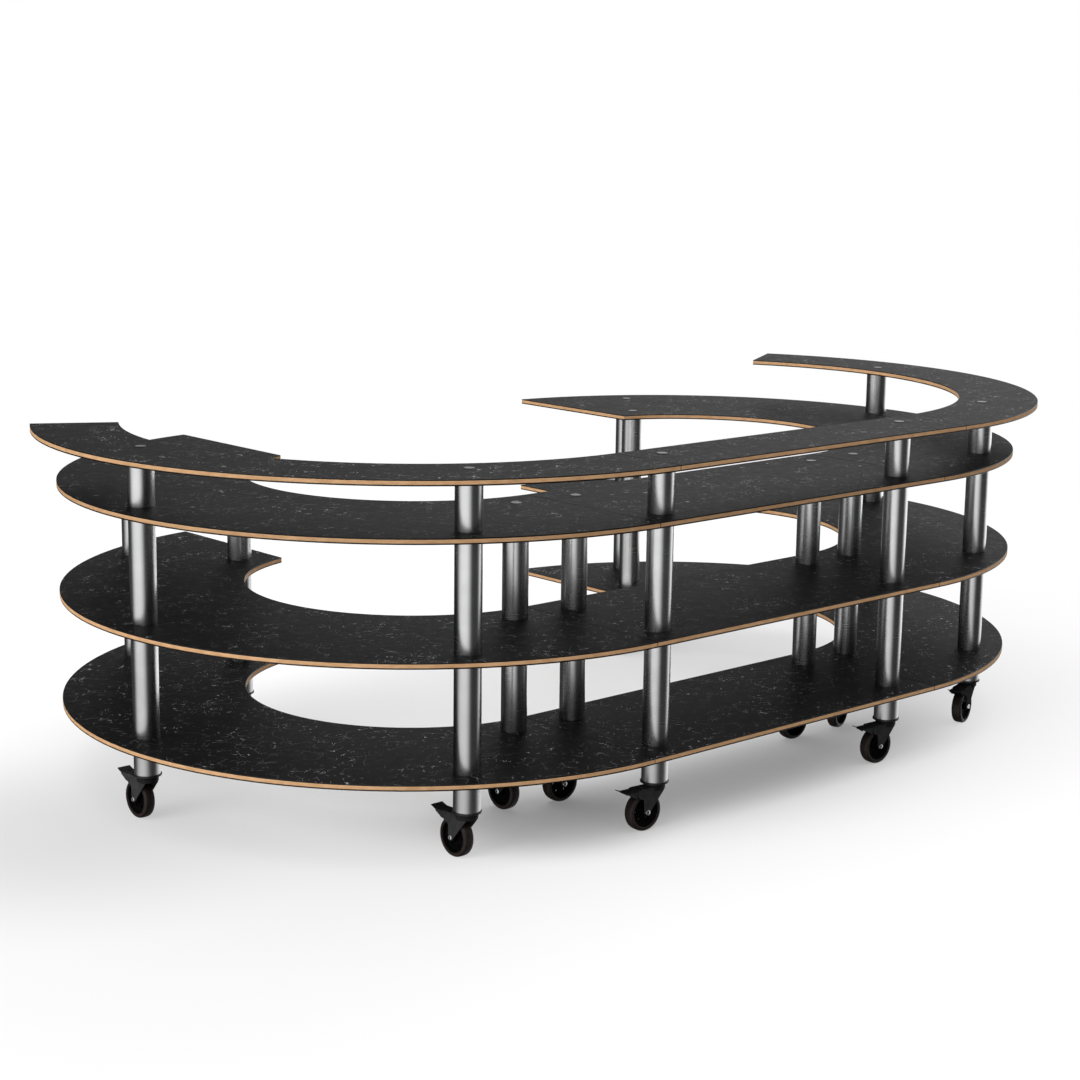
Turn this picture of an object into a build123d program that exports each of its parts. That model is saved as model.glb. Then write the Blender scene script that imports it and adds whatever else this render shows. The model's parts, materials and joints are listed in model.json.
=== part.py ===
from build123d import *
from collections import namedtuple
from math import cos, radians, sin, sqrt
import os

# A rolling buffet station in three modules: a straight one in front and a half-round one at each end.
# X runs along the straight front, +Y points to the staff side, +Z is up. All sizes are in millimetres.

# Plan
straight_length = 1300.0   # straight module, from seam to seam
shelf_outer_r = 1125.0     # outer edge of the half-round shelves, about a centre on the seam line
shelf_depth = 580.0        # front edge to back edge of every shelf
end_cut = 150.0            # the half-round shelves stop this far outside the seam line at the back
seam_gap = 0.9             # between two docked modules
edge_ease = 0.8            # eased edges of the boards

# Boards and the clear heights between them
board = 18.0               # plywood with a laminate on both faces
foot_clear = 94.0          # caster flange to base shelf
shelf_clear = 332.0        # between two shelves
bar_clear = 157.0          # worktop to raised bar

# Raised bar
bar_depth = 270.0          # inner edge to outer edge
bar_inset = 85.0           # post axis to the bar's inner edge
bar_end_angle = 30.0       # the bar runs this far behind the side post, in degrees

# Posts
tube_r = 40.0
tube_wall = 2.0
post_inset = 110.0         # outer posts to the outer edge of a shelf
inner_post_inset = 104.0   # inner posts to the inner edge of a shelf
back_post_inset = 112.0    # the same for the inner posts at the back ends
seam_inset = 110.0         # posts of the straight module to the seam
end_inset = 120.0          # inner posts of a half-round module to its two cut ends
outer_post_step = 60.0     # between the outer posts of a half-round module, in degrees

# Tie bolts that clamp boards and tubes together, and the discs that centre the tubes
bolt_r = 6.0
bolt_play = 0.3            # bolt in a board or in a centring disc
bolt_head_r = 16.5
bolt_head_proud = 2.0      # of the board's face
bolt_head_sunk = 3.0       # into the board
bolt_head_play = 0.5       # round the sunk head
disc_thickness = 12.0
disc_play = 0.2            # disc in its tube
foot_plug_thickness = 25.0
thread_play = 0.05         # bolt and caster stem in the foot plug

# Caster: fixed flange with its stem and kingpin
flange_r = 43.0
flange_thickness = 5.0
stem_length = 12.0
kingpin_r = 8.0
rivet_r = 13.0
rivet_thickness = 4.0
swivel_play = 0.3          # flat running gaps above and below the crown
running_play = 0.05        # a pin in its bore

# Caster: fork
trail = 44.0               # swivel axis to axle
crown_r = 33.0
crown_height = 19.7
crown_gap = 3.0            # top of the tyre to the crown
plate_gap = 19.5           # wheel's middle plane to the inside of a fork plate
plate_thickness = 4.5
plate_below_crown_top = 9.7
plate_rear = 11.5          # axle to the plate's rear edge
lug_r = 9.5                # round end of a fork plate
roof_thickness = 7.0
roof_end = 9.0             # axle to the rear end of the roof
axle_r = 5.0
axle_head_r = 8.0
axle_head_thickness = 4.0

# Caster: wheel
wheel_r = 60.0
tyre_width = 35.0
tyre_shoulder = 6.0
rim_r = 47.0
rim_wall = 4.0
rim_width = 28.0
web_thickness = 9.0
boss_r = 13.0
boss_play = 0.3            # boss to fork plate

# Caster: brake pedal and the ears that carry it
pedal_pin_r = 4.0
pedal_pin_behind_axle = 23.0
pedal_pin_above_tyre = 4.0
ear_r = 13.0               # reach of an ear round the pedal pin
pedal_play = 1.0           # pedal's root between the ears
pedal_hub_r = 5.5
pedal_width = 44.0
pedal_reach = 69.0         # pedal pin to tip
pedal_rise = 12.5          # tip above the pedal pin
pedal_lip = 14.0           # length of the turned-up tip
pedal_tip_thickness = 3.0
pedal_drop = 12.5          # belly below the pedal pin
pedal_corner = 6.0
pedal_behind_ear = 2.0     # ear to the wide part of the pedal
pedal_press = 12.0         # stroke from free to braked, in degrees
shoe_gap = 0.5             # brake shoe to tyre when the pedal is pressed

# How the casters of each module stand, turned about Z, with 0 trailing towards +X
left_turn = 90.0
straight_turn = 176.0
right_turn = 197.0

# Values that follow from the sizes above
seam_x = straight_length / 2
shelf_inner_r = shelf_outer_r - shelf_depth
outer_post_r = shelf_outer_r - post_inset
inner_post_r = shelf_inner_r + inner_post_inset
back_post_r = shelf_inner_r + back_post_inset
bar_inner_r = outer_post_r - bar_inset
bar_outer_r = bar_inner_r + bar_depth
shelf_back = sqrt(shelf_outer_r ** 2 - end_cut ** 2)
arc_y = (bar_outer_r - shelf_back) / 2

crown_bottom = 2 * wheel_r + crown_gap
crown_top = crown_bottom + crown_height
flange_bottom = crown_top + swivel_play
foot_z = flange_bottom + flange_thickness
base_z = foot_z + foot_clear
middle_z = base_z + board + shelf_clear
work_z = middle_z + board + shelf_clear
bar_z = work_z + board + bar_clear

plate_top = crown_top - plate_below_crown_top
pedal_pin_x = trail + pedal_pin_behind_axle
pedal_pin_z = 2 * wheel_r + pedal_pin_above_tyre

Post = namedtuple("Post", "name x y carries_bar braked")
UP = (Align.CENTER, Align.CENTER, Align.MIN)


def rod(radius, low, high):
    """An upright round bar on the Z axis between two heights."""
    return Pos(0, 0, low) * Cylinder(radius, high - low, align=UP)


def cross_pin(radius, length, x, z):
    """A round bar along Y, centred on the caster's middle plane."""
    return Pos(x, 0, z) * Rot(90, 0, 0) * Cylinder(radius, length)


def side_profile(points_and_curves, width):
    """A plate of the given width, drawn in the caster's middle plane as x and height."""
    face = make_face(points_and_curves)
    return extrude(Plane.XZ * face, amount=width / 2, both=True)


# Where the posts stand
def end_posts(side):
    """Five posts of a half-round module: three on the outer circle and two near the inner edge."""
    posts = []
    for place, name in enumerate(("outer_front", "outer_side", "outer_back")):
        angle = (place - 1) * outer_post_step
        x = seam_x + outer_post_r * cos(radians(angle))
        y = arc_y + outer_post_r * sin(radians(angle))
        posts.append(Post(name, side * x, y, angle < bar_end_angle, True))
    front_y = arc_y - sqrt(inner_post_r ** 2 - end_inset ** 2)
    posts.append(Post("inner_front", side * (seam_x + end_inset), front_y, False, False))
    back_out = end_cut + end_inset
    back_y = arc_y + sqrt(back_post_r ** 2 - back_out ** 2)
    posts.append(Post("inner_back", side * (seam_x + back_out), back_y, False, False))
    return posts


def straight_posts():
    """Four posts of the straight module, the front two carrying the bar."""
    posts = []
    for name, side in (("left", -1), ("right", 1)):
        x = side * (seam_x - seam_inset)
        posts.append(Post("outer_" + name, x, arc_y - outer_post_r, True, True))
        posts.append(Post("inner_" + name, x, arc_y - inner_post_r, False, False))
    return posts


def board_heights(post):
    """Undersides of the boards that a post passes or carries, from the base shelf up."""
    return [base_z, middle_z, work_z] + ([bar_z] if post.carries_bar else [])


# Boards
def end_plan(side, inner_r, outer_r, is_bar):
    """Plan of a half-round board: a ring kept on its own side of the seam, and cut at its far end."""
    far = 2 * outer_r
    seam = seam_gap / 2
    if is_bar:
        end = radians(bar_end_angle)
        corners = [(r * cos(end), r * sin(end)) for r in (inner_r / 2, far)]
    else:
        corners = [(end_cut, 0), (end_cut, far), (far, far)]
    corners = [(seam, 0)] + corners + [(far, -far), (seam, -far)]
    keep = Polygon(*[(side * x, y) for x, y in corners], align=None)
    return Pos(side * seam_x, arc_y) * ((Circle(outer_r) - Circle(inner_r)) & keep)


def straight_plan(inner_r, outer_r):
    """Plan of a straight board, in line with the front edges of the half-round ones."""
    middle = arc_y - (inner_r + outer_r) / 2
    return Pos(0, middle) * Rectangle(straight_length - seam_gap, outer_r - inner_r)


def drilled_board(plan, low, posts):
    """A board with eased edges and a bolt hole at each post, counterbored where a bolt ends in it."""
    blank = Pos(0, 0, low) * extrude(plan, amount=board)
    blank = chamfer(blank.edges(), edge_ease)
    top = low + board
    for post in posts:
        heights = board_heights(post)
        if low not in heights:
            continue
        blank -= Pos(post.x, post.y) * rod(bolt_r + bolt_play, low, top)
        if low == heights[-1]:
            blank -= Pos(post.x, post.y) * rod(bolt_head_r + bolt_head_play, top - bolt_head_sunk, top)
    return blank


# Posts
def post_spans(post):
    """Bottom and top of each tube of a post."""
    heights = board_heights(post)
    return list(zip([foot_z] + [low + board for low in heights[:-1]], heights))


def post_tubes(post):
    """The tubes of one post, from foot to top."""
    tubes = []
    for low, high in post_spans(post):
        tubes.append(Pos(post.x, post.y) * (rod(tube_r, low, high) - rod(tube_r - tube_wall, low, high)))
    return tubes


def drilled_disc(hole_r, low, thickness):
    """A disc inside a tube, with a hole for the tie bolt."""
    disc_r = tube_r - tube_wall - disc_play
    return rod(disc_r, low, low + thickness) - rod(hole_r, low, low + thickness)


def centring_discs(post):
    """A drilled disc in each tube end, and a thicker threaded plug at the foot."""
    discs = []
    for low, high in post_spans(post):
        if low == foot_z:
            discs.append(drilled_disc(bolt_r + thread_play, low, foot_plug_thickness))
        else:
            discs.append(drilled_disc(bolt_r + bolt_play, low, disc_thickness))
        discs.append(drilled_disc(bolt_r + bolt_play, high - disc_thickness, disc_thickness))
    return [Pos(post.x, post.y) * disc for disc in discs]


def tie_bolt(post):
    """One long bolt with a flat disc head, from the top board down into the foot plug."""
    top = board_heights(post)[-1] + board
    shank = rod(bolt_r, foot_z + stem_length + swivel_play, top)
    head = rod(bolt_head_r, top - bolt_head_sunk, top + bolt_head_proud)
    return Pos(post.x, post.y) * (shank + chamfer(head.edges().group_by(Axis.Z)[-1], edge_ease))


# Casters, drawn at the origin with the wheel trailing towards +X
def caster_flange():
    """The part that stays with the post: stem, flange, kingpin and its rivet head."""
    rivet_top = crown_bottom - swivel_play
    flange = rod(bolt_r, foot_z, foot_z + stem_length) + rod(flange_r, flange_bottom, foot_z)
    flange += rod(kingpin_r, rivet_top - rivet_thickness, flange_bottom)
    return flange + rod(rivet_r, rivet_top - rivet_thickness, rivet_top)


def fork_plate(braked):
    """One plate in side view: slanted front edge, round lug at the axle, and an ear for a pedal."""
    rear = trail + plate_rear
    front = -sqrt(crown_r ** 2 - (plate_gap + plate_thickness) ** 2)
    lug_front = (trail - lug_r, wheel_r)
    lug_rear = (trail + lug_r, wheel_r)
    points = [lug_front, (front, crown_bottom), (front, plate_top)]
    if braked:
        ear_rear = pedal_pin_x + ear_r
        ear_low = pedal_pin_z - ear_r
        points += [(ear_rear, plate_top), (ear_rear, pedal_pin_z - ear_r / 2)]
        points += [(pedal_pin_x + ear_r / 2, ear_low), (rear, ear_low - ear_r / 2)]
    else:
        points += [(rear, plate_top), (rear, crown_bottom - ear_r)]
    points += [lug_rear]
    lug = ThreePointArc(lug_rear, (trail, wheel_r - lug_r), lug_front)
    outside = 2 * (plate_gap + plate_thickness)
    plates = side_profile(Polyline(*points) + lug, outside)
    return plates - Pos(trail, 0, wheel_r) * Box(8 * wheel_r, 2 * plate_gap, 8 * wheel_r)


def fork(braked):
    """Crown, roof and two plates in one piece, bored for kingpin, axle and pedal pin."""
    width = 2 * (plate_gap + plate_thickness)
    body = fork_plate(braked) + rod(crown_r, crown_bottom, crown_top)
    roof = Box(trail + roof_end, width, roof_thickness, align=(Align.MIN, Align.CENTER, Align.MAX))
    body += Pos(0, 0, plate_top) * roof
    body -= rod(kingpin_r + running_play, crown_bottom, crown_top)
    body -= cross_pin(axle_r + running_play, width, trail, wheel_r)
    if braked:
        body -= cross_pin(pedal_pin_r + running_play, width, pedal_pin_x, pedal_pin_z)
    return body


def axle_bolt():
    """A bolt through both plates, with a flat round head and a nut of the same size."""
    width = 2 * (plate_gap + plate_thickness)
    bolt = cross_pin(axle_r, width, trail, wheel_r)
    for way in (-1, 1):
        head = cross_pin(axle_head_r, axle_head_thickness, trail, wheel_r)
        bolt += Pos(0, way * (width + axle_head_thickness) / 2, 0) * head
    return bolt


def pedal_pin():
    """The pin that the pedal turns on, flush with the ears."""
    return cross_pin(pedal_pin_r, 2 * (plate_gap + plate_thickness), pedal_pin_x, pedal_pin_z)


def tyre():
    """A ring with rounded shoulders."""
    ring = Cylinder(wheel_r, tyre_width)
    ring = fillet(ring.edges(), tyre_shoulder) - Cylinder(rim_r, tyre_width)
    return Pos(trail, 0, wheel_r) * Rot(90, 0, 0) * ring


def hub():
    """Rim, recessed web and boss in one piece, bored for the axle."""
    boss_length = 2 * (plate_gap - boss_play)
    body = Cylinder(rim_r, rim_width) - Cylinder(rim_r - rim_wall, rim_width)
    body += Cylinder(rim_r - rim_wall / 2, web_thickness)
    body += Cylinder(boss_r, boss_length)
    body -= Cylinder(axle_r + running_play, boss_length)
    return Pos(trail, 0, wheel_r) * Rot(90, 0, 0) * body


def pressed_tyre():
    """The tyre's round as the pedal meets it after its stroke, seen from the pedal."""
    back = radians(pedal_press)
    along = trail - pedal_pin_x
    above = wheel_r - pedal_pin_z
    x = pedal_pin_x + along * cos(back) - above * sin(back)
    z = pedal_pin_z + above * cos(back) + along * sin(back)
    return cross_pin(wheel_r + shoe_gap, 2 * pedal_width, x, z)


def pedal():
    """A foot pedal: root with the brake shoe between the ears, and a wide tread turned up at its tip."""
    wide_from = ear_r + pedal_behind_ear
    outline = [
        (0, pedal_hub_r),
        (pedal_reach - pedal_lip, pedal_hub_r),
        (pedal_reach - pedal_tip_thickness, pedal_rise),
        (pedal_reach, pedal_rise - pedal_tip_thickness),
        (pedal_reach - pedal_lip, pedal_hub_r - pedal_tip_thickness),
        (wide_from, -pedal_drop),
        (0, -pedal_drop),
    ]
    wedge = Polyline(*[(pedal_pin_x + x, pedal_pin_z + z) for x, z in outline], close=True)
    root_width = 2 * (plate_gap - pedal_play)
    height = 2 * pedal_pin_z
    root_room = Box(2 * wide_from, pedal_width, height, align=(Align.MAX, Align.CENTER, Align.MIN))
    root_room = Pos(pedal_pin_x + wide_from, 0) * root_room
    tread_plan = Pos(pedal_pin_x, 0) * RectangleRounded(2 * pedal_reach, pedal_width, pedal_corner)
    body = (side_profile(wedge, pedal_width) & extrude(tread_plan, amount=height)) - root_room
    body += side_profile(wedge, root_width) & root_room
    body += cross_pin(pedal_hub_r, root_width, pedal_pin_x, pedal_pin_z)
    return body - cross_pin(pedal_pin_r + running_play, root_width, pedal_pin_x, pedal_pin_z) - pressed_tyre()


# The three modules
def modules():
    """Name, posts, caster turn and board plans of each module."""
    shelf = (shelf_inner_r, shelf_outer_r)
    bar = (bar_inner_r, bar_outer_r)
    return [
        ("left", end_posts(-1), left_turn, end_plan(-1, *shelf, False), end_plan(-1, *bar, True)),
        ("centre", straight_posts(), straight_turn, straight_plan(*shelf), straight_plan(*bar)),
        ("right", end_posts(1), right_turn, end_plan(1, *shelf, False), end_plan(1, *bar, True)),
    ]


def save(node, *shapes):
    """Write one node, as separate solids."""
    solids = [solid for shape in shapes for solid in shape.solids()]
    export_step(Compound(children=solids), f"parts/{node}.step")


def main():
    os.makedirs("parts", exist_ok=True)
    wheel = [tyre(), hub()]
    forks = {True: [fork(True), axle_bolt(), pedal_pin()], False: [fork(False), axle_bolt()]}
    flange = caster_flange()
    tread = pedal()
    for module, posts, turn, shelf_plan, bar_plan in modules():
        for name, low in (("base_shelf", base_z), ("middle_shelf", middle_z), ("worktop", work_z)):
            save(f"{module}_{name}", drilled_board(shelf_plan, low, posts))
        save(f"{module}_bar", drilled_board(bar_plan, bar_z, posts))
        save(f"{module}_post_tubes", *[tube for post in posts for tube in post_tubes(post)])
        save(f"{module}_centring_discs", *[disc for post in posts for disc in centring_discs(post)])
        save(f"{module}_tie_bolts", *[tie_bolt(post) for post in posts])
        save(f"{module}_caster_flanges", *[Pos(post.x, post.y) * flange for post in posts])
        for post in posts:
            place = Pos(post.x, post.y) * Rot(0, 0, turn)
            caster = f"{module}_{post.name}"
            save(f"{caster}_fork", *[place * piece for piece in forks[post.braked]])
            save(f"{caster}_wheel", *[place * piece for piece in wheel])
            if post.braked:
                save(f"{caster}_pedal", place * tread)


if __name__ == "__main__":
    main()
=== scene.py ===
# %% [markdown]
# # A rolling buffet station
# The station is a counter in three modules: a straight one in front and a half-round one at each end.
# Dark boards lie on round steel posts, and every post stands on a caster.
# The frame brings in the boards, posts and casters as solids, grouped by what moves together.
# Here the boards keep their solids and get their finish.
# The posts and casters are modelled again, more finely.

# %% Load the frame
import json
import math

import bpy
from mathutils import Matrix, Vector


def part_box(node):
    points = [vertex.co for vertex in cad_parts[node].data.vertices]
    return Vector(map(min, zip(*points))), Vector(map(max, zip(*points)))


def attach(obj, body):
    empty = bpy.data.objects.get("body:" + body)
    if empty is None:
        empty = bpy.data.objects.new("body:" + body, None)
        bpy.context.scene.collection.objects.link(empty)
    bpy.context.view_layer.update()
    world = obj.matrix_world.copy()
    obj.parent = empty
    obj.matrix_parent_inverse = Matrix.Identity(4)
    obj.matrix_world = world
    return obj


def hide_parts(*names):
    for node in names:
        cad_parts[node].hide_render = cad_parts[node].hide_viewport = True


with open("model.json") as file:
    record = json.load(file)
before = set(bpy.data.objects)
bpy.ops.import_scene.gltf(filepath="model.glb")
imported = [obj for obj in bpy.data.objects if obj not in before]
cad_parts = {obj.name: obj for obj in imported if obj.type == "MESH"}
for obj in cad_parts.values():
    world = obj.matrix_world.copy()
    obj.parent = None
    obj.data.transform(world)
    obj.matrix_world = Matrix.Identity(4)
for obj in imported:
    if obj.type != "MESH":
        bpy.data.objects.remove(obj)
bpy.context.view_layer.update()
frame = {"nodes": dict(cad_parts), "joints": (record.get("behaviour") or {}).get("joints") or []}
mm = 0.001

# %% [markdown]
# ## The camera
# The station is seen from the guests' side, from a little above its left front.
# The place, the line of sight and the lens come from the perspective of the shelves' edges and the posts.
# A camera could be aimed with a constraint, but three plain turns say exactly how it stands.

# %% Camera
CAMERA_PLACE = Vector((-5.012, -5.4035, 2.117))
CAMERA_YAW = math.radians(47.935)
CAMERA_DOWN = math.radians(11.191)
CAMERA_ROLL = math.radians(0.756)
CAMERA_LENS = 73.01
CAMERA_SENSOR = 36
CAMERA_SIGHT = 200

camera_data = bpy.data.cameras.new("camera")
camera_data.lens = CAMERA_LENS
camera_data.sensor_width = CAMERA_SENSOR
camera_data.clip_end = CAMERA_SIGHT
camera = bpy.data.objects.new("camera", camera_data)
bpy.context.scene.collection.objects.link(camera)
turn = Matrix.Rotation(CAMERA_YAW - math.pi / 2, 4, "Z")
tilt = Matrix.Rotation(math.pi / 2 - CAMERA_DOWN, 4, "X")
roll = Matrix.Rotation(CAMERA_ROLL, 4, "Z")
camera.matrix_world = Matrix.Translation(CAMERA_PLACE) @ turn @ tilt @ roll
bpy.context.scene.camera = camera
print("camera", [round(v, 2) for v in CAMERA_PLACE], "lens", CAMERA_LENS)

# %% [markdown]
# ## Writing shaders as sums
# A finish is a small network of nodes. Wiring each Math node by hand hides what the network says.
# One class wraps a socket, so that adding and multiplying wires adds the Math nodes.
# Every other node comes from its one method, with the settings first and then the inputs.


# %% Wires
class Wire:
    """A socket of a shader. Arithmetic on wires adds Math nodes to their tree."""

    def __init__(self, socket):
        self.socket = socket

    @classmethod
    def node(cls, tree, kind, settings=None, inputs=None, output=0):
        """Add a node to a tree: its settings, then the values or wires of its inputs."""
        made = tree.nodes.new(kind)
        for key, value in (settings or {}).items():
            setattr(made, key, value)
        for key, value in (inputs or {}).items():
            if isinstance(value, Wire):
                tree.links.new(value.socket, made.inputs[key])
            else:
                made.inputs[key].default_value = value
        return cls(made.outputs[output])

    def math(self, operation, first, second=0.0):
        tree = self.socket.id_data
        return Wire.node(tree, "ShaderNodeMath", {"operation": operation}, {0: first, 1: second})

    def __add__(self, other):
        return self.math("ADD", self, other)

    def __sub__(self, other):
        return self.math("SUBTRACT", self, other)

    def __rsub__(self, other):
        return self.math("SUBTRACT", other, self)

    def __mul__(self, other):
        return self.math("MULTIPLY", self, other)

    def __gt__(self, other):
        return self.math("GREATER_THAN", self, other)

    def __lt__(self, other):
        return self.math("LESS_THAN", self, other)

    __radd__ = __add__
    __rmul__ = __mul__

    def sine(self):
        return self.math("SINE", self)

    def size(self):
        return self.math("ABSOLUTE", self)

    def ramp(self, low, high):
        """Rise smoothly from 0 to 1 between two values."""
        settings = {"interpolation_type": "SMOOTHSTEP"}
        inputs = {"Value": self, "From Min": low, "From Max": high}
        return Wire.node(self.socket.id_data, "ShaderNodeMapRange", settings, inputs)


print("wires ready")


# %% Finishes
class Finish:
    """A material under construction: its tree, its shader and the point on the piece."""

    def __init__(self, name, **constants):
        self.material = bpy.data.materials.new(name)
        self.material.use_nodes = True
        self.tree = self.material.node_tree
        self.shader = self.tree.nodes["Principled BSDF"]
        for key, value in constants.items():
            self.shader.inputs[key.replace("_", " ")].default_value = value
        self.place = self.node("ShaderNodeTexCoord", output="Object")

    def node(self, kind, settings=None, inputs=None, output=0):
        return Wire.node(self.tree, kind, settings, inputs, output)

    def feed(self, **wires):
        """Connect wires to the shader's own sockets."""
        for key, wire in wires.items():
            self.tree.links.new(wire.socket, self.shader.inputs[key.replace("_", " ")])

    def along(self, axis):
        """The place on the piece along one axis."""
        return self.node("ShaderNodeSeparateXYZ", {}, {0: self.place}, axis)

    def scaled(self, x, y, z):
        """The point on the piece, stretched along each axis."""
        return self.node("ShaderNodeVectorMath", {"operation": "MULTIPLY"}, {0: self.place, 1: (x, y, z)})

    def noise(self, point, scale, detail=2.0, output=0):
        inputs = {"Vector": point, "Scale": scale, "Detail": detail}
        return self.node("ShaderNodeTexNoise", {}, inputs, output)

    def mix(self, factor, first, second):
        """Mix two colours."""
        settings = {"data_type": "RGBA"}
        return self.node("ShaderNodeMix", settings, {0: factor, 6: first, 7: second}, 2)

    def bump(self, height, strength, depth):
        inputs = {"Strength": strength, "Distance": depth, "Height": height}
        return self.node("ShaderNodeBump", {}, inputs)


def rgb(red, green, blue):
    return (red, green, blue, 1.0)


def dress(piece, material):
    """Give a piece its one finish."""
    piece.data.materials.clear()
    piece.data.materials.append(material)


print("finishes ready")

# %% [markdown]
# ## Boards
# A board is plywood with a dark laminate on both faces. Its edges are bare, so the plies show as a tan band
# between two thin dark lines. The laminate is charcoal with short pale curved fibres, some in clusters.
# A picture could carry the fibres, but a pattern made from the point on the board has no seams
# and no size limit. The height within the board tells laminate from plywood,
# so each of the four levels gets its own finish.
# The plywood of the worktops and bars is painted darker, as painted shade: the worktop's edge lies in the
# shade under the bar's overhang, and the bar's edge is painted a little darker too. The fibres are faded on
# the upper boards, as a painted stand-in for the sheen that veils them at grazing angles.

# %% Fibres
THREAD_CORE = 0.3
CUT_SCALE = 0.8
CUT_SOFT = 0.06


def fibres(finish, seed, scale, thickness, gaps):
    """Thin curled threads: the level lines of a soft noise, cut into short lengths by another."""
    inputs = {0: finish.place, 1: (seed, seed, seed)}
    shifted = finish.node("ShaderNodeVectorMath", {"operation": "ADD"}, inputs)
    hills = finish.noise(shifted, scale, detail=0.0)
    off_line = (hills - 0.5).size()
    cuts = finish.noise(shifted, scale * CUT_SCALE, detail=0.0, output="Color")
    lengths = finish.node("ShaderNodeSeparateColor", {}, {0: cuts}, "Green").ramp(gaps, gaps + CUT_SOFT)
    return (1 - off_line.ramp(THREAD_CORE * thickness, thickness)) * lengths


print("fibres ready")

# %% Laminate and plywood
BOARD = 18 * mm
TOP_SHEET = 3.2 * mm
LOW_SHEET = 4.2 * mm
SKIN = 0.1 * mm
SEAM_X = 650 * mm
# The board ends at the seams are painted dark: painted shade for the narrow seam between modules.
SEAM_SHADE_WIDTH = 1.2 * mm
PLY = 1.55 * mm
BOARD_GLOSS = 0.035
CHARCOAL = rgb(0.0046, 0.0046, 0.0047)
CHARCOAL_DEEP = rgb(0.0030, 0.0030, 0.0031)
CUT_EDGE = rgb(0.0012, 0.0012, 0.0012)
CUT_EDGE_COAT = 0.45
CUT_EDGE_SHEEN = 0.3
FIBRE = rgb(0.55, 0.55, 0.56)
PLY_LIGHT = rgb(0.620, 0.382, 0.210)
PLY_DARK = rgb(0.390, 0.220, 0.107)


def toned(shade, tone):
    """A colour made darker or lighter."""
    return rgb(*(tone * part for part in shade[:3]))


def board_finish(name, low, painted_edge_shade, fibre_sheen_fade):
    """Laminate on the faces and plywood on the rim of the boards that start at one height."""
    finish = Finish(name, Specular_IOR_Level=BOARD_GLOSS, Coat_Roughness=CUT_EDGE_SHEEN)
    height = finish.along("Z") - low
    rim = (height > SKIN) * (height < BOARD - SKIN)
    # Painted shade at the seams: the ends there take the dark laminate colour.
    seam_shade = (finish.along("X").size() - SEAM_X).size() < SEAM_SHADE_WIDTH
    core = (height > LOW_SHEET) * (height < BOARD - TOP_SHEET) * (1 - seam_shade)
    cut_edge = rim * (1 - core) * (1 - seam_shade)

    clusters = finish.noise(finish.place, scale=7.0).ramp(0.42, 0.66)
    flakes = fibres(finish, seed=3.7, scale=58, thickness=0.024, gaps=0.64) * (0.1 + clusters * 0.9)
    curls = fibres(finish, seed=0.0, scale=36, thickness=0.009, gaps=0.55) * (0.15 + clusters * 0.65)
    hairs = fibres(finish, seed=8.1, scale=16, thickness=0.004, gaps=0.52) * 0.35
    # The fibres are faded on the upper boards: painted veiling by the sheen at grazing angles.
    fibre = (flakes + curls + hairs) * fibre_sheen_fade
    clouds = finish.noise(finish.place, scale=7.0, detail=4.0).ramp(0.3, 0.7)
    ground = finish.mix(clouds, CHARCOAL_DEEP, CHARCOAL)
    laminate = finish.mix(rim, finish.mix(fibre, ground, FIBRE), CUT_EDGE)

    plies = (height * (math.tau / (2 * PLY))).sine() * 0.5 + 0.5
    grain = finish.noise(finish.scaled(35, 35, 140), scale=1.0, detail=3.0)
    patches = finish.noise(finish.place, scale=9.0)
    tone = plies * 0.35 + grain * 0.65 + patches * 0.35
    # The plywood is painted darker on levels whose edges lie in shade: painted shade.
    wood = finish.mix(tone.ramp(0.45, 0.85), toned(PLY_DARK, painted_edge_shade), toned(PLY_LIGHT, painted_edge_shade))

    shine = finish.noise(finish.place, scale=30.0, detail=3.0)
    finish.feed(
        Base_Color=finish.mix(core, laminate, wood),
        Roughness=0.50 + shine * 0.12 + rim * 0.2 - fibre * 0.08,
        Coat_Weight=cut_edge * CUT_EDGE_COAT,
        Normal=finish.bump(grain * core + shine * 0.15, strength=0.12, depth=0.4 * mm),
    )
    return finish.material


print("board finish ready")

# %% Boards
MODULES = ("left", "centre", "right")
LEVELS = ("base_shelf", "middle_shelf", "worktop", "bar")
# Painted shade on the plywood edges: the worktop's under the bar's overhang, the bar's a little.
PAINTED_EDGE_SHADES = (1.0, 1.0, 0.87, 0.94)
# Painted veiling of the fibres on the upper boards, where the sheen hides them.
FIBRE_SHEEN_FADES = (1.0, 0.78, 0.62, 0.66)
for level, painted_edge_shade, fibre_sheen_fade in zip(LEVELS, PAINTED_EDGE_SHADES, FIBRE_SHEEN_FADES):
    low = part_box("centre_" + level)[0].z
    laminate = board_finish("laminate_" + level, low, painted_edge_shade, fibre_sheen_fade)
    for module in MODULES:
        dress(frame["nodes"][f"{module}_{level}"], laminate)
print("boards dressed on", len(LEVELS), "levels")

# %% [markdown]
# ## Modelling helpers
# Most metal pieces are either turned on a lathe or cut from plate. Both start from an outline.
# The outline is drawn as by hand: one vertex, extruded from point to point.
# A turned piece is its outline spun about an axis, and a plate is its outline filled and extruded.
# Primitives could be cut and joined instead, but an outline puts every corner exactly where it belongs.

# %% Outlines
MERGE = 1e-6
SMOOTH_BELOW = math.radians(35)


def start_clean():
    """Leave edit mode and deselect everything, because an operator acts on all that is selected."""
    if bpy.context.object and bpy.context.object.mode != "OBJECT":
        bpy.ops.object.mode_set(mode="OBJECT")
    bpy.ops.object.select_all(action="DESELECT")


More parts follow.
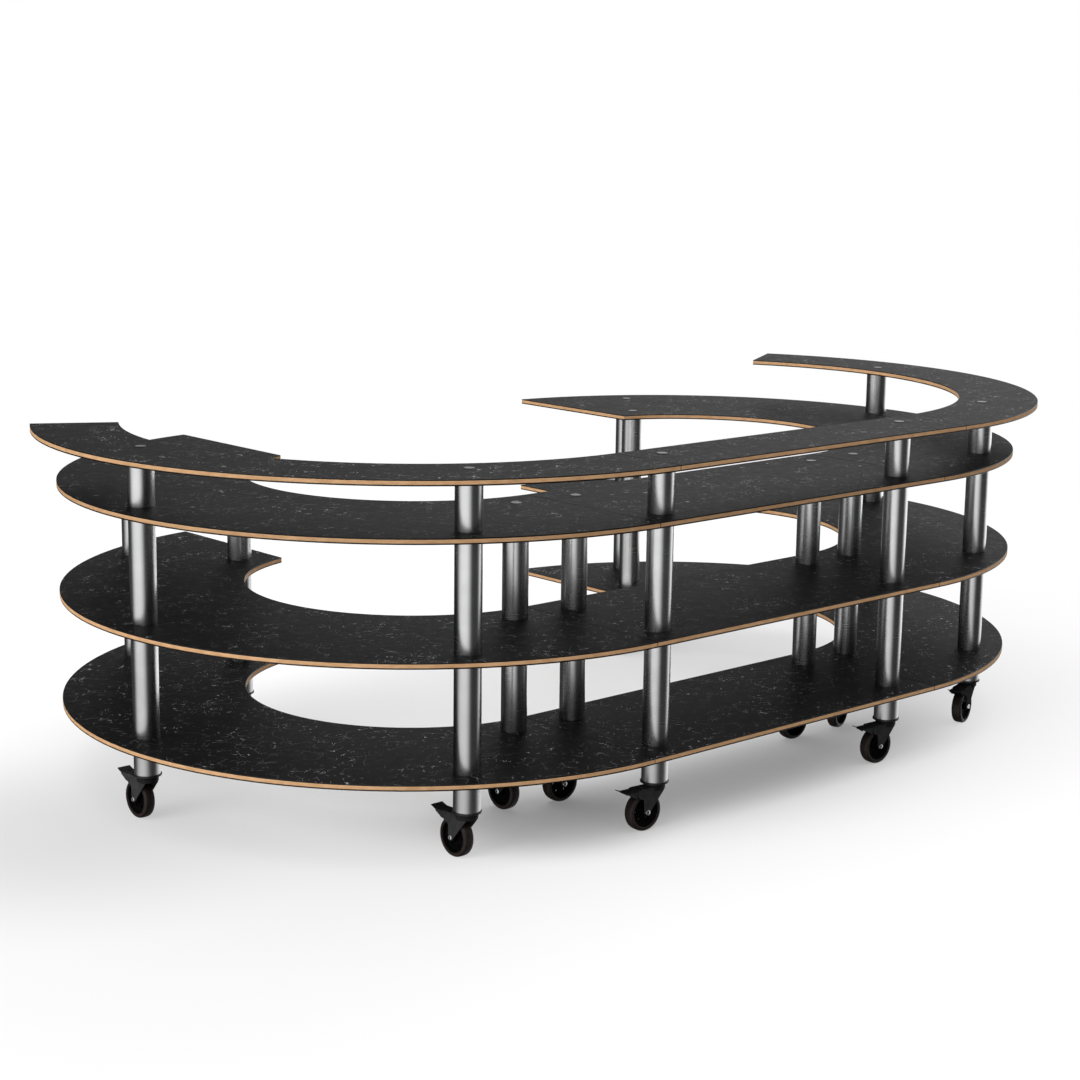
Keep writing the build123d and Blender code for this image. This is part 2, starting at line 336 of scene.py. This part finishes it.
def draw_outline(name, points):
    """A closed chain of edges through the points, left selected in edit mode."""
    start_clean()
    bpy.ops.mesh.primitive_plane_add(size=mm, location=points[0])
    piece = bpy.context.active_object
    piece.name = name
    bpy.ops.object.mode_set(mode="EDIT")
    bpy.ops.mesh.select_mode(type="VERT")
    bpy.ops.mesh.select_all(action="SELECT")
    bpy.ops.mesh.merge(type="CENTER")
    for here, there in zip(points, [*points[1:], points[0]]):
        step = Vector(there) - Vector(here)
        bpy.ops.mesh.extrude_region_move(TRANSFORM_OT_translate={"value": step})
    bpy.ops.mesh.select_all(action="SELECT")
    bpy.ops.mesh.remove_doubles(threshold=MERGE)
    return piece


def close_up(piece):
    """Merge doubles, point faces outwards, and put the place into the mesh."""
    bpy.ops.object.mode_set(mode="EDIT")
    bpy.ops.mesh.select_all(action="SELECT")
    bpy.ops.mesh.remove_doubles(threshold=MERGE)
    bpy.ops.mesh.normals_make_consistent(inside=False)
    bpy.ops.object.mode_set(mode="OBJECT")
    bpy.ops.object.select_all(action="DESELECT")
    piece.select_set(True)
    bpy.context.view_layer.objects.active = piece
    bpy.ops.object.transform_apply(location=True, rotation=True, scale=True)
    bpy.ops.object.shade_smooth_by_angle(angle=SMOOTH_BELOW)
    return piece


def arc(centre, radius, first, last, count):
    """Points on a circle, between two angles in degrees."""
    angles = [math.radians(first + (last - first) * i / count) for i in range(count + 1)]
    return [(centre[0] + radius * math.cos(a), centre[1] + radius * math.sin(a)) for a in angles]


print("outlines ready")


# %% Turned pieces and plates
def turned(name, profile, centre, axis, steps):
    """A closed profile of radius and place along the axis, spun round it. The axis is Y or Z."""
    centre = Vector(centre)
    along = Vector((0, 1, 0)) if axis == "Y" else Vector((0, 0, 1))
    points = [centre + Vector((1, 0, 0)) * radius + along * place for radius, place in profile]
    piece = draw_outline(name, points)
    bpy.ops.mesh.spin(steps=steps, angle=math.tau, center=centre, axis=along)
    return close_up(piece)


def plate(name, outline, near, far):
    """An outline of x and height, filled and extruded along Y."""
    points = [Vector((x, near, z)) for x, z in outline]
    piece = draw_outline(name, points)
    bpy.ops.mesh.edge_face_add()
    bpy.ops.mesh.extrude_region_move(TRANSFORM_OT_translate={"value": (0, far - near, 0)})
    return close_up(piece)


print("lathe and plate ready")


# %% Bevels, joins and copies
def pick(piece, kind, chosen):
    """Select the edges or faces that the test picks, and stay in edit mode."""
    start_clean()
    bpy.context.view_layer.objects.active = piece
    piece.select_set(True)
    bpy.ops.object.mode_set(mode="EDIT")
    bpy.ops.mesh.select_mode(type=kind)
    bpy.ops.mesh.select_all(action="DESELECT")
    bpy.ops.object.mode_set(mode="OBJECT")
    for item in piece.data.edges if kind == "EDGE" else piece.data.polygons:
        item.select = chosen(item)
    bpy.ops.object.mode_set(mode="EDIT")


def bevel_edges(piece, width, segments, chosen):
    """Round the edges that the test picks, by their two ends."""
    vertices = piece.data.vertices
    pick(piece, "EDGE", lambda edge: chosen(*(vertices[i].co for i in edge.vertices)))
    bpy.ops.mesh.bevel(offset=width, segments=segments, affect="EDGES")
    return close_up(piece)


def join(name, pieces):
    """Make several pieces one object."""
    start_clean()
    for piece in pieces:
        piece.select_set(True)
    bpy.context.view_layer.objects.active = pieces[0]
    bpy.ops.object.join()
    pieces[0].name = name
    return pieces[0]


def copy_at(master, name, place):
    """A copy with its own mesh, moved in the mesh."""
    mesh = master.data.copy()
    mesh.transform(place)
    piece = bpy.data.objects.new(name, mesh)
    bpy.context.scene.collection.objects.link(piece)
    return piece


print("bevels, joins and copies ready")

# %% [markdown]
# ## Posts
# A post is a stack of steel tubes with the boards clamped between them. The tubes are satin stainless
# steel, polished round and round, so the light on them runs in long upright streaks.
# Towards the floor they are painted darker, as painted shade standing in for the shaded floor that the real
# tubes mirror there: the height on the post mixes in a darker steel, and the feet under the base shelf are
# rougher.
# A cylinder is the start. Its ends are inset and opened, the two rims are bridged into an inner wall,
# and the outer rims get a fine bevel that catches the light.
# A spun outline would do too, but an inset keeps the wall even and its rims are easy to pick.
# One tube of each length is copied to every post.

# %% Satin steel
STEEL = rgb(0.62, 0.62, 0.625)
# The darker steel is painted shade towards the floor, for the shaded floor the tubes would mirror.
STEEL_IN_PAINTED_SHADE = rgb(0.385, 0.385, 0.388)
PAINTED_SHADE_TOP = 1.1
TUBE_RINGS = 1400


def satin_steel(name, dark_end, bright, fine, rough, painted_shade=0.0):
    """Steel with fine polishing rings along Z, a soft mottling, and a painted shade that fades out up the
    post.
    """
    finish = Finish(name, Metallic=1.0)
    rings = finish.noise(finish.scaled(6, 6, fine), scale=1.0, detail=3.0)
    mottle = finish.noise(finish.place, scale=14.0)
    # Darker towards the floor: painted shade, fading out up the post.
    tone = mottle.ramp(0.3, 0.75) * (1 - painted_shade) + finish.along("Z").ramp(0.0, PAINTED_SHADE_TOP) * painted_shade
    finish.feed(
        Base_Color=finish.mix(tone, dark_end, bright),
        Roughness=rough + (rings - 0.5) * 0.05 + (mottle - 0.5) * 0.03,
        Normal=finish.bump(rings, strength=0.03, depth=0.05 * mm),
    )
    return finish.material


tube_steel = satin_steel("satin_steel", STEEL_IN_PAINTED_SHADE, STEEL, TUBE_RINGS, rough=0.26, painted_shade=0.8)
foot_steel = satin_steel("foot_steel", STEEL_IN_PAINTED_SHADE, STEEL, TUBE_RINGS, rough=0.38, painted_shade=0.8)
print("steel ready")

# %% Tube
TUBE_R = 40 * mm
TUBE_WALL = 2 * mm
TUBE_SIDES = 96
RIM_EASE = 0.5 * mm
LEVEL = 1e-5


def on_outer_rim(a, b):
    """Whether an edge lies level on the outside of a tube's end."""
    return abs(a.z - b.z) < LEVEL and min(a.xy.length, b.xy.length) > TUBE_R - TUBE_WALL / 2


def tube(name, length):
    """A hollow tube that stands on the origin."""
    start_clean()
    middle = (0, 0, length / 2)
    bpy.ops.mesh.primitive_cylinder_add(vertices=TUBE_SIDES, radius=TUBE_R, depth=length, location=middle)
    piece = bpy.context.active_object
    piece.name = name
    pick(piece, "FACE", lambda face: abs(face.normal.z) > 0.9)
    bpy.ops.mesh.inset(thickness=TUBE_WALL)
    bpy.ops.mesh.delete(type="FACE")
    bpy.ops.mesh.select_mode(type="EDGE")
    bpy.ops.mesh.select_non_manifold()
    bpy.ops.mesh.bridge_edge_loops()
    close_up(piece)
    return bevel_edges(piece, RIM_EASE, 2, on_outer_rim)


def tube_spans(carries_bar):
    """Bottom and top of each tube of a post, read from the frame."""
    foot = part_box("centre_post_tubes")[0].z
    boards = [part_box("centre_" + level) for level in LEVELS]
    boards = boards if carries_bar else boards[:-1]
    bottoms = [foot] + [high.z for low, high in boards[:-1]]
    return [(bottom, low.z) for bottom, (low, high) in zip(bottoms, boards)]


masters = {}
for index, (low, high) in enumerate(tube_spans(True)):
    length = round(high - low, 4)
    if length not in masters:
        masters[length] = tube("tube", length)
        masters[length].data.materials.append(tube_steel if index else foot_steel)
print("tube lengths", list(masters))

# %% Posts
BAR_POSTS = ("outer_front", "outer_side", "outer_left", "outer_right")
posts = {}
for joint in frame["joints"]:
    if joint["name"].endswith("_swivel"):
        posts[joint["name"].removesuffix("_swivel")] = Vector((*joint["pos_m"][:2], 0))

for module in MODULES:
    tubes = []
    for name, foot in posts.items():
        if name.startswith(module):
            for low, high in tube_spans(name.endswith(BAR_POSTS)):
                place = Matrix.Translation(foot + Vector((0, 0, low)))
                tubes.append(copy_at(masters[round(high - low, 4)], name, place))
    count = len(tubes)
    stack = join(module + "_tubes", tubes)
    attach(stack, module + "_module")
    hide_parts(module + "_post_tubes")
    print(stack.name, "has", count, "tubes")
for master in masters.values():
    bpy.data.objects.remove(master)

# %% [markdown]
# ## Bolt heads and inner discs
# A flat round bolt head closes each post on top. It is plain zinc-plated steel, much duller than the tubes.
# They could be turned again, but flat discs gain nothing from it, so the solids stay and get a finish.
# The discs that centre the tubes lie inside and never show, so they get the bright zinc of the axle bolts.

# %% Bolt heads
ZINC = rgb(0.85, 0.85, 0.855)
HEAD = rgb(0.12, 0.12, 0.122)
HEAD_DULL = rgb(0.08, 0.08, 0.082)
ZINC_RINGS = 300

bolt_steel = satin_steel("zinc_steel", STEEL, ZINC, ZINC_RINGS, rough=0.32)
head_steel = satin_steel("head_steel", HEAD_DULL, HEAD, ZINC_RINGS, rough=0.45)
for module in MODULES:
    dress(frame["nodes"][module + "_tie_bolts"], head_steel)
    dress(frame["nodes"][module + "_centring_discs"], bolt_steel)
print("bolts dressed")

# %% [markdown]
# ## Caster finishes
# Fork, flange and pedal are sheet steel in a dark paint that is a little uneven, and the crown is painted
# blacker, as painted shade where it lies under the flange.
# The tyre is a brown-black rubber, and the hub is a matt black nylon.
# One recipe makes all five, because they differ only in their greys, their gloss and their grit.


# %% Paint, rubber and nylon
def dark_coat(name, deep, light, gloss, rough, grit, depth):
    """A dark finish with a fine grit, a soft mottling and an uneven sheen."""
    finish = Finish(name, Specular_IOR_Level=gloss)
    patches = finish.noise(finish.place, scale=60.0, detail=3.0)
    fine = finish.noise(finish.place, scale=grit)
    finish.feed(
        Base_Color=finish.mix(patches.ramp(0.3, 0.7), deep, light),
        Roughness=rough + (patches - 0.5) * 0.16 + (fine - 0.5) * 0.1,
        Normal=finish.bump(fine, strength=0.25, depth=depth),
    )
    return finish.material


def grey(level, warm=0.0):
    """A dark grey, with a little more red than blue where it is warm."""
    return rgb(level * (1 + warm), level, level * (1 - warm / 3))


fork_paint = dark_coat(
    "fork_paint", grey(0.031), grey(0.041), gloss=0.0, rough=0.5, grit=1500, depth=0.08 * mm
)
# The crown's blacker paint is painted shade under the flange.
crown_shade_paint = dark_coat(
    "crown_shade_paint", grey(0.013), grey(0.018), gloss=0.04, rough=0.55, grit=1200, depth=0.1 * mm
)
flange_paint = dark_coat(
    "flange_paint", grey(0.006), grey(0.011), gloss=0.4, rough=0.5, grit=1500, depth=0.08 * mm
)
tyre_rubber = dark_coat(
    "tyre_rubber", grey(0.007, 0.5), grey(0.011, 0.55), gloss=0.27, rough=0.55, grit=900, depth=0.1 * mm
)
hub_nylon = dark_coat(
    "hub_nylon", grey(0.0012), grey(0.0024), gloss=0.03, rough=0.6, grit=1100, depth=0.08 * mm
)
for module in MODULES:
    dress(frame["nodes"][module + "_caster_flanges"], flange_paint)
print("caster finishes ready")

# %% [markdown]
# ## Wheels
# The wheel is a tyre with rounded shoulders on a hub with a recessed web. Both are turned pieces:
# stacked cylinders could stand for them, but one profile also gives the shoulders and the recess.
# Round holes lighten the web: one cutter each, taken out of the hub together.
# The wheel is modelled once, in the caster's own frame: the axle lies along Y, behind the swivel axis.

# %% Wheel
WHEEL_R = 60 * mm
TRAIL = 44 * mm
AXLE = Vector((TRAIL, 0, WHEEL_R))
TYRE_SIDE = [
    (47, 15.8), (47.8, 17.1), (49.2, 17.5), (52.4, 17.5), (55.2, 16.6),
    (57.6, 14.6), (59.1, 12), (59.8, 8.5), (60, 3),
]
HUB_SIDE = [
    (5.2, 19.2), (12, 19.2), (13, 18.2), (13.4, 7), (15.5, 4.8),
    (40, 4.8), (42, 6.6), (43.2, 13.1), (44, 13.9), (46.9, 13.9),
]
WEB_HOLES = 6
WEB_HOLE_R = 4.9 * mm
WEB_HOLE_PLACE = 28 * mm
WEB_HOLE_DEPTH = 14 * mm


def both_sides(side):
    """A profile mirrored to the other side of the middle plane, in metres."""
    mirrored = [(r, -y) for r, y in reversed(side)]
    return [(r * mm, y * mm) for r, y in side + mirrored]


def web_hole(index):
    """A cutter for one hole of the web."""
    start_clean()
    angle = math.tau * (index + 0.5) / WEB_HOLES
    place = AXLE + Vector((math.sin(angle), 0, math.cos(angle))) * WEB_HOLE_PLACE
    lying = (math.pi / 2, 0, 0)
    bpy.ops.mesh.primitive_cylinder_add(
        vertices=24, radius=WEB_HOLE_R, depth=WEB_HOLE_DEPTH, location=place, rotation=lying
    )
    return close_up(bpy.context.active_object)


def drill(piece, cutter):
    """Take the cutter's shape out of a piece."""
    start_clean()
    bpy.context.view_layer.objects.active = piece
    piece.select_set(True)
    bpy.ops.object.modifier_add(type="BOOLEAN")
    piece.modifiers[-1].object = cutter
    bpy.ops.object.modifier_apply(modifier=piece.modifiers[-1].name)
    bpy.data.objects.remove(cutter)
    return close_up(piece)


tyre = turned("tyre", both_sides(TYRE_SIDE), AXLE, "Y", steps=80)
tyre.data.materials.append(tyre_rubber)
hub = turned("hub", both_sides(HUB_SIDE), AXLE, "Y", steps=72)
drill(hub, join("web_holes", [web_hole(index) for index in range(WEB_HOLES)]))
hub.data.materials.append(hub_nylon)
wheel_master = join("wheel", [tyre, hub])
print("wheel has", len(wheel_master.data.polygons), "faces")

# %% [markdown]
# ## Forks
# The fork is folded from one plate: a roof under the crown and a slanted cheek on each side of the wheel.
# On a braked caster the cheeks run back into ears that hold the pedal's pin.
# Each cheek is an outline, extruded, with its edges eased and the fold along its top rounded.
# A block could be carved instead, but the outline keeps the plate's thickness everywhere.
# The crown is turned, with the thin line where its two race halves meet.

# %% Fork plate
CHEEK_IN = 19.5 * mm
CHEEK_OUT = 24 * mm
CHEEK_TOP = 133
CHEEK_EASE = 0.6 * mm
FOLD_R = 3.2 * mm
FOLD_DEPTH = 4
TOP_SLACK = 0.5
FRONT = [(-22.4, CHEEK_TOP), (-22.4, 126), (-19, 120)]
LUG_R = 9.5
LUG_FROM = 200
LUG_TO = 362
LUG_STEPS = 18
EAR = [(56, 97), (60, 101), (73, 106), (78.5, 110.5), (80, 115), (80, 129), (77, CHEEK_TOP)]
PLAIN_REAR = [(55.4, 110), (55.5, 127), (52, CHEEK_TOP)]
ROOF = 7 * mm
ROOF_END = 53 * mm
ROOF_LAP = 0.1 * mm
ROOF_EASE = 1.2 * mm


def cheek(side, braked):
    """One cheek of the fork, on the side of -Y or +Y."""
    lug = arc((AXLE.x / mm, AXLE.z / mm), LUG_R, LUG_FROM, LUG_TO, LUG_STEPS)
    outline = FRONT + lug + (EAR if braked else PLAIN_REAR)
    outline = [(x * mm, z * mm) for x, z in outline]
    outer = side * CHEEK_OUT
    piece = plate("cheek", outline, side * CHEEK_IN, outer)

    def on_fold(a, b):
        at_top = min(a.z, b.z) > (CHEEK_TOP - TOP_SLACK) * mm
        return at_top and abs(a.y - outer) + abs(b.y - outer) < LEVEL

    def round_the_face(a, b):
        return abs(a.y - b.y) < LEVEL and max(a.z, b.z) < (CHEEK_TOP - FOLD_DEPTH) * mm

    bevel_edges(piece, FOLD_R, 4, on_fold)
    return bevel_edges(piece, CHEEK_EASE, 2, round_the_face)


def roof():
    """The flat plate between the two cheeks."""
    start_clean()
    size = (ROOF_END, 2 * CHEEK_IN + 2 * ROOF_LAP, ROOF)
    place = (ROOF_END / 2, 0, CHEEK_TOP * mm - ROOF / 2)
    bpy.ops.mesh.primitive_cube_add(size=1, location=place, scale=size)
    piece = close_up(bpy.context.active_object)

    def on_rear_edge(a, b):
        return min(a.x, b.x) > ROOF_END / 2 and abs(a.y - b.y) > CHEEK_IN

    return bevel_edges(piece, ROOF_EASE, 2, on_rear_edge)


print("fork plate ready")

# %% Fork
CROWN = [
    (8.3, 123), (28.5, 123), (31.4, 124), (33, 126.6), (33, 134.6), (32, 135.2),
    (32, 136.2), (33, 136.8), (33, 141.4), (32, 142.6), (8.3, 142.6),
]
PIN_PLACE = (67, 124)
PIN_DOME = [(0.05, 0.9), (2, 0.8), (3.4, 0.4), (3.95, -0.4), (3.95, -4), (0.05, -4)]


def pin_head(side):
    """The domed end of the pedal's pin."""
    profile = [(r * mm, side * (CHEEK_OUT + y * mm)) for r, y in PIN_DOME]
    return turned("pin_head", profile, (PIN_PLACE[0] * mm, 0, PIN_PLACE[1] * mm), "Y", steps=24)


def fork_body(braked):
    """Crown, cheeks and roof, with the pin's two ends on a braked caster."""
    crown = turned("crown", [(r * mm, z * mm) for r, z in CROWN], (0, 0, 0), "Z", steps=72)
    # The crown is painted blacker: painted shade under the flange.
    crown.data.materials.append(crown_shade_paint)
    pieces = [cheek(-1, braked), cheek(1, braked), roof()]
    if braked:
        pieces += [pin_head(-1), pin_head(1)]
    folded = join("folded_plate", pieces)
    folded.data.materials.append(fork_paint)
    return join("fork", [crown, folded])


print("fork ready")

# %% [markdown]
# ## Axle bolts
# A bright bolt runs through both cheeks, with a round domed head and a deep socket on each side.
# Heads and shaft could be separate pieces, but one profile from end to end leaves no seams between them.
# The bolt stays on the fork when the wheel turns.

# %% Axle bolt
BOLT_SIDE = [
    (0.05, 22.5), (3.4, 22.5), (3.4, 27.7), (3.7, 28), (5.6, 28),
    (7.3, 27.1), (8, 25.6), (8, 24.02), (4.95, 24.02), (4.95, 3),
]


def axle_bolt():
    """The bolt, from head to head."""
    piece = turned("axle_bolt", both_sides(BOLT_SIDE), AXLE, "Y", steps=40)
    piece.data.materials.append(bolt_steel)
    return piece


fork_masters = {}
for braked in (True, False):
    fork_masters[braked] = join("fork", [fork_body(braked), axle_bolt()])
    print("braked" if braked else "plain", "fork has", len(fork_masters[braked].data.polygons), "faces")

# %% [markdown]
# ## Pedals
# The brake pedal is a pressed lever: a root between the ears, and a wide tread that turns up at its tip.
# An extruded outline would give its side but not its change of width, so it is box-modelled:
# a face is pulled out station by station, and moved and sized at each one.
# A station is its place behind the pin, half its width, and its underside and top above the pin.
# Thin skirts hang from its sides, and three low bars across the tread keep a shoe from slipping.

# %% Pedal
PEDAL_STATIONS = [
    (-4.6, 18.5, -4.2, 7), (0, 18.5, -6.4, 7), (7, 18.5, -8.9, 6.2), (14.6, 18.5, -11.5, 5.5),
    (15.4, 22, -11.8, 5.5), (30, 22, -6.7, 5.5), (44, 22, -1.5, 5.5), (48.5, 22, 1.6, 5.6),
    (52, 22, 3.6, 6.4), (60, 22, 6.6, 9.2), (66, 21.8, 9.2, 11.6), (68.9, 21.4, 10.6, 12.4),
]
PEDAL_WIDE_FROM = 15 * mm
PEDAL_EASE = 1.1 * mm
SAME_SIDE = 4 * mm
LEAST_STEP = 1 * mm


def on_tread_corner(a, b):
    """Whether an edge runs lengthwise along the wide part of the pedal."""
    lengthwise = abs(a.y - b.y) < SAME_SIDE and abs(a.x - b.x) > LEAST_STEP
    return lengthwise and min(a.x, b.x) > PIN_PLACE[0] * mm + PEDAL_WIDE_FROM


def pedal():
    """The lever, pulled out of its root."""
    start_clean()
    x, half, low, high = (v * mm for v in PEDAL_STATIONS[0])
    pin_x, pin_z = (v * mm for v in PIN_PLACE)
    place = (pin_x + x, 0, pin_z + (low + high) / 2)
    bpy.ops.mesh.primitive_plane_add(size=1, location=place, rotation=(0, math.pi / 2, 0))
    piece = bpy.context.active_object
    piece.name = "pedal"
    piece.scale = (high - low, 2 * half, 1)
    bpy.ops.object.transform_apply(location=True, rotation=True, scale=True)
    bpy.ops.object.mode_set(mode="EDIT")
    bpy.ops.mesh.select_all(action="SELECT")
    for before, after in zip(PEDAL_STATIONS, PEDAL_STATIONS[1:]):
        rise = (after[2] + after[3] - before[2] - before[3]) / 2
        step = Vector((after[0] - before[0], 0, rise)) * mm
        bpy.ops.mesh.extrude_region_move(TRANSFORM_OT_translate={"value": step})
        wider = after[1] / before[1]
        taller = (after[3] - after[2]) / (before[3] - before[2])
        middle = (pin_x + after[0] * mm, 0, pin_z + (after[2] + after[3]) / 2 * mm)
        bpy.ops.transform.resize(value=(1, wider, taller), center_override=middle)
    close_up(piece)
    return bevel_edges(piece, PEDAL_EASE, 3, on_tread_corner)


print("pedal lever of", len(PEDAL_STATIONS), "stations ready")

# %% Skirts and grip bars
SKIRT = [(15.6, -16.5), (24, -14), (31, -9.5), (41, -4.6), (47.5, -1.2), (47.5, 3), (15.6, 3)]
SKIRT_IN = 19.8 * mm
SKIRT_OUT = 22.15 * mm
SKIRT_EASE = 0.5 * mm
GRIP_BARS = [(32, 5.5), (40, 5.5), (48, 5.5)]
GRIP_SIZE = (2.2 * mm, 30 * mm, 1.6 * mm)
GRIP_EASE = 0.6 * mm


def from_pin(x, z):
    """A place given from the pedal's pin in millimetres, as x and height in metres."""
    return ((PIN_PLACE[0] + x) * mm, (PIN_PLACE[1] + z) * mm)


def skirt(side):
    """The thin wall that hangs from one side of the tread."""
    outline = [from_pin(x, z) for x, z in SKIRT]
    piece = plate("skirt", outline, side * SKIRT_IN, side * SKIRT_OUT)
    return bevel_edges(piece, SKIRT_EASE, 2, lambda a, b: abs(a.y - b.y) < LEVEL)


def grip_bar(x, z):
    """A low bar across the tread, rounded along its length."""
    start_clean()
    place_x, place_z = from_pin(x, z)
    bpy.ops.mesh.primitive_cube_add(size=1, location=(place_x, 0, place_z), scale=GRIP_SIZE)
    piece = close_up(bpy.context.active_object)
    return bevel_edges(piece, GRIP_EASE, 2, lambda a, b: abs(a.y - b.y) > GRIP_SIZE[1] / 2)


grips = [grip_bar(x, z) for x, z in GRIP_BARS]
pedal_master = join("pedal", [pedal(), skirt(-1), skirt(1)] + grips)
pedal_master.data.materials.append(fork_paint)
print("pedal has", len(pedal_master.data.polygons), "faces")

# %% [markdown]
# ## Placing the casters
# Every caster is a copy, moved in its mesh to its post and turned the way it stands.
# Copies could share one mesh, but each of these moves with its own body, so each has its own.
# The frame's joints say where: the swivels give the posts' places, and the axles give the direction.

# %% Casters
count = 0
for joint in frame["joints"]:
    if not joint["name"].endswith("_spin"):
        continue
    name = joint["name"].removesuffix("_spin")
    across = Vector(joint["axis"])
    place = Matrix.Translation(posts[name]) @ Matrix.Rotation(math.atan2(-across.x, across.y), 4, "Z")
    braked = name + "_pedal" in frame["nodes"]
    kinds = [("fork", fork_masters[braked], "swivel"), ("wheel", wheel_master, "wheel")]
    if braked:
        kinds.append(("pedal", pedal_master, "pedal"))
    for kind, master, body in kinds:
        piece = copy_at(master, f"{name}_{kind}_piece", place)
        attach(piece, f"{name}_{body}")
        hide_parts(f"{name}_{kind}")
    count += 1
for master in (*fork_masters.values(), wheel_master, pedal_master):
    bpy.data.objects.remove(master)
print("casters placed:", count)

# %% [markdown]
# ## Floor
# The station stands on a white floor without a horizon. Seen directly, the floor fades to white with the
# distance, and near the station a share of painted white glow lightens its shadow. Soft pools of painted
# shade lie on it: at the left end, in the left foreground, in the middle and under the left seam.
# A white picture behind would do for one view, but a floor keeps the shadows in all of them.
# The floor is left out of mirrored light, so that upright tubes mirror the room down to their feet.

# %% Floor
FLOOR_R = 40.0
# Near the station a share of white glow is painted over the floor, which lightens its shadow.
FLOOR_LIFT = 0.24
RIM_LIFT = 0.36
RIM_FADE = (0.85, 1.5)
FAR_FADE = (2.2, 7.0)
FLOOR_WHITE = 0.75
FLOOR_BOUNCE = rgb(0.22, 0.22, 0.22)
# Painted pools of shade on the floor: a place, the reach of its fade, and its depth.
SHADES = [
    ((-2.0, 0.15, 0), (0.1, 1.0), 0.81), ((-2.2, -1.0, 0), (0.2, 1.6), 0.93),
    ((0.1, 0.55, 0), (0.3, 0.9), 0.91), ((-0.72, -0.72, 0), (0.15, 0.45), 0.77),
]


def floor_finish():
    """White that bounces little light, with painted pools of shade and a painted white glow near the
    station, lifted to pure white in the distance.
    """
    finish = Finish("white_floor", Roughness=0.9, Specular_IOR_Level=0.0)

    def distance(place):
        inputs = {0: finish.place, 1: place}
        return finish.node("ShaderNodeVectorMath", {"operation": "DISTANCE"}, inputs, "Value")

    # How much of the floor is left clear of the painted pools of shade.
    clear = 1.0
    for place, reach, shade in SHADES:
        clear = clear * (shade + distance(place).ramp(*reach) * (1 - shade))
    glow = finish.node("ShaderNodeEmission", {}, {"Color": clear, "Strength": 1.0})
    seen = finish.node("ShaderNodeLightPath", output="Is Camera Ray")
    finish.feed(Base_Color=finish.mix(seen, FLOOR_BOUNCE, clear * FLOOR_WHITE))
    away = distance((0, 0, 0))
    near_fade = FLOOR_LIFT + away.ramp(*RIM_FADE) * RIM_LIFT
    fade = near_fade + away.ramp(*FAR_FADE) * (1 - FLOOR_LIFT - RIM_LIFT)
    surface = Wire(finish.shader.outputs[0])
    mixed = finish.node("ShaderNodeMixShader", {}, {0: fade * seen, 1: surface, 2: glow})
    finish.tree.links.new(mixed.socket, finish.tree.nodes["Material Output"].inputs["Surface"])
    return finish.material


start_clean()
bpy.ops.mesh.primitive_circle_add(vertices=128, radius=FLOOR_R, fill_type="NGON", location=(0, 0, 0))
floor = bpy.context.active_object
floor.name = "floor"
floor.visible_glossy = False
floor.data.materials.append(floor_finish())
print("floor ready")

# %% [markdown]
# ## Studio
# Round the station is a dim room with a bright wall on its left, a second one on its right and a little
# behind it, and a bright ceiling. The two walls make the long streaks on the round tubes,
# and the dim front makes the dark band between them.
# Lamps could stand for the walls, but in the surroundings the walls reach below the floor,
# where upright tubes mirror them. The camera itself sees plain white.

# %% Surroundings
ROOM = 0.06
LEFT_WALL = (-165, 66, 1.25)
BACK_WALL = (11, 61, 1.65)
WALL_CORE = 12
CEILING = 1.8
CEILING_FROM = 0.25


def surroundings():
    """Light by direction. A wall is its azimuth, its spread in degrees and its strength."""
    world = bpy.data.worlds.new("studio")
    bpy.context.scene.world = world
    world.use_nodes = True
    tree = world.node_tree
    outwards = Wire.node(tree, "ShaderNodeTexCoord", output="Generated")
    upwards = Wire.node(tree, "ShaderNodeSeparateXYZ", {}, {0: outwards}, "Z")
    level = upwards.ramp(CEILING_FROM, 1.0) * CEILING + ROOM
    for azimuth, spread, strength in (LEFT_WALL, BACK_WALL):
        angle = math.radians(azimuth)
        inputs = {0: outwards, 1: (math.cos(angle), math.sin(angle), 0)}
        facing = Wire.node(tree, "ShaderNodeVectorMath", {"operation": "DOT_PRODUCT"}, inputs, "Value")
        rim, core = (math.cos(math.radians(reach)) for reach in (spread, WALL_CORE))
        level = level + facing.ramp(rim, core) * strength
    camera_ray = Wire.node(tree, "ShaderNodeLightPath", output="Is Camera Ray")
    level = level + camera_ray * (1 - level)
    background = tree.nodes["Background"]
    background.inputs["Color"].default_value = rgb(1, 1, 1)
    tree.links.new(level.socket, background.inputs["Strength"])


surroundings()
print("surroundings ready")

# %% [markdown]
# ## Left lamp
# The edges that face left are the brightest, at both ends of the station alike.
# So a large lamp stands far off on the left, where its light hardly weakens from one end to the other.
# The tubes already mirror the left wall, so the lamp is left out of mirrored light.

# %% Left lamp
LAMP_AZIMUTH = math.radians(178)
LAMP_RISE = math.radians(20)
LAMP_DISTANCE = 48.0
LAMP_SIZE = (30.0, 24.0)
LAMP_POWER = 15800

lamp_data = bpy.data.lights.new("left_lamp", "AREA")
lamp_data.shape = "RECTANGLE"
lamp_data.size, lamp_data.size_y = LAMP_SIZE
lamp_data.energy = LAMP_POWER
lamp = bpy.data.objects.new("left_lamp", lamp_data)
bpy.context.scene.collection.objects.link(lamp)
lamp.visible_glossy = False
flat = LAMP_DISTANCE * math.cos(LAMP_RISE)
height = LAMP_DISTANCE * math.sin(LAMP_RISE)
place = Vector((flat * math.cos(LAMP_AZIMUTH), flat * math.sin(LAMP_AZIMUTH), height))
lamp.matrix_world = Matrix.Translation(place) @ (-place).to_track_quat("-Z", "Y").to_matrix().to_4x4()
print("lamp ready")

# %% [markdown]
# ## View transform
# The view transform is the plain one, so colours come out as they are written.

# %% Finish
bpy.context.scene.view_settings.view_transform = "Standard"
